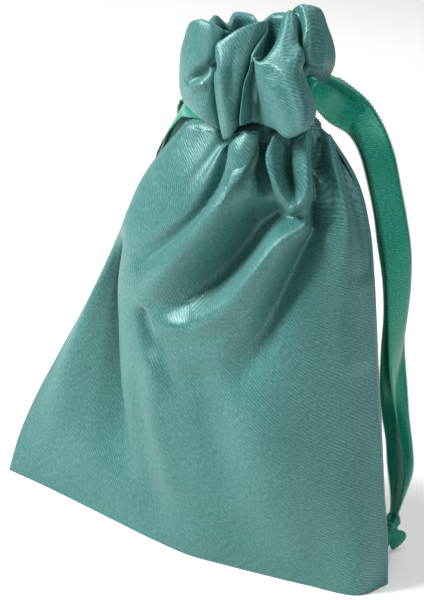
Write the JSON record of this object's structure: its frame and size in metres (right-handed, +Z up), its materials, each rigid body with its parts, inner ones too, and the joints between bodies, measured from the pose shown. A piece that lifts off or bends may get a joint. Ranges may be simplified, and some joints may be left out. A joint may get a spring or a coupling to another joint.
{
  "type": "fabric gift sack",
  "caption": "Small satin drawstring gift sack, standing with its mouth gathered into a ruffle by two ribbons that slide in a sewn channel and hang down to knots.",
  "frame": {"origin": "on the floor, in the middle of the sack's base between the two side seams", "axes": "+Z up, +X from the left side seam to the right one, the front faces -Y"},
  "size_m": [0.1, 0.0385, 0.1336],
  "materials": {
    "satin_cloth": "woven satin, soft sheen along its folds",
    "ribbon": "glossy satin ribbon with small looped edges",
    "thread": "matt sewing thread"
  },
  "bodies": {
    "sack": {"front_panel": "satin_cloth", "back_panel": "satin_cloth", "left_side_seam": "thread", "right_side_seam": "thread", "bottom_seam": "thread", "front_upper_stitches": "thread", "front_lower_stitches": "thread", "back_upper_stitches": "thread", "back_lower_stitches": "thread", "right_ribbon_channel_loop": "ribbon", "left_ribbon_channel_loop": "ribbon"},
    "right_drawstring": {"right_ribbon_front_lead": "ribbon", "right_ribbon_back_lead": "ribbon"},
    "right_tail": {"right_ribbon_front_strand": "ribbon", "right_ribbon_back_strand": "ribbon", "right_ribbon_knot": "ribbon", "right_ribbon_first_end": "ribbon", "right_ribbon_second_end": "ribbon"},
    "left_drawstring": {"left_ribbon_front_lead": "ribbon", "left_ribbon_back_lead": "ribbon"},
    "left_tail": {"left_ribbon_front_strand": "ribbon", "left_ribbon_back_strand": "ribbon", "left_ribbon_knot": "ribbon", "left_ribbon_first_end": "ribbon", "left_ribbon_second_end": "ribbon"}
  },
  "joints": [
    {"name": "right_drawstring_pull", "type": "slide", "parent": "sack", "child": "right_drawstring", "axis": [0.9806, 0, 0.1961], "range_m": [0, 0.01]},
    {"name": "right_tail_swing", "type": "hinge", "parent": "right_drawstring", "child": "right_tail", "pos_m": [0.0288, 0.003, 0.10515], "axis": [0, -1, 0], "range_deg": [0, 80]},
    {"name": "left_drawstring_pull", "type": "slide", "parent": "sack", "child": "left_drawstring", "axis": [-0.9806, 0, -0.1961], "range_m": [0, 0.01]},
    {"name": "left_tail_swing", "type": "hinge", "parent": "left_drawstring", "child": "left_tail", "pos_m": [-0.0227, 0.005, 0.0931], "axis": [0, 1, 0], "range_deg": [0, 80]}
  ]
}
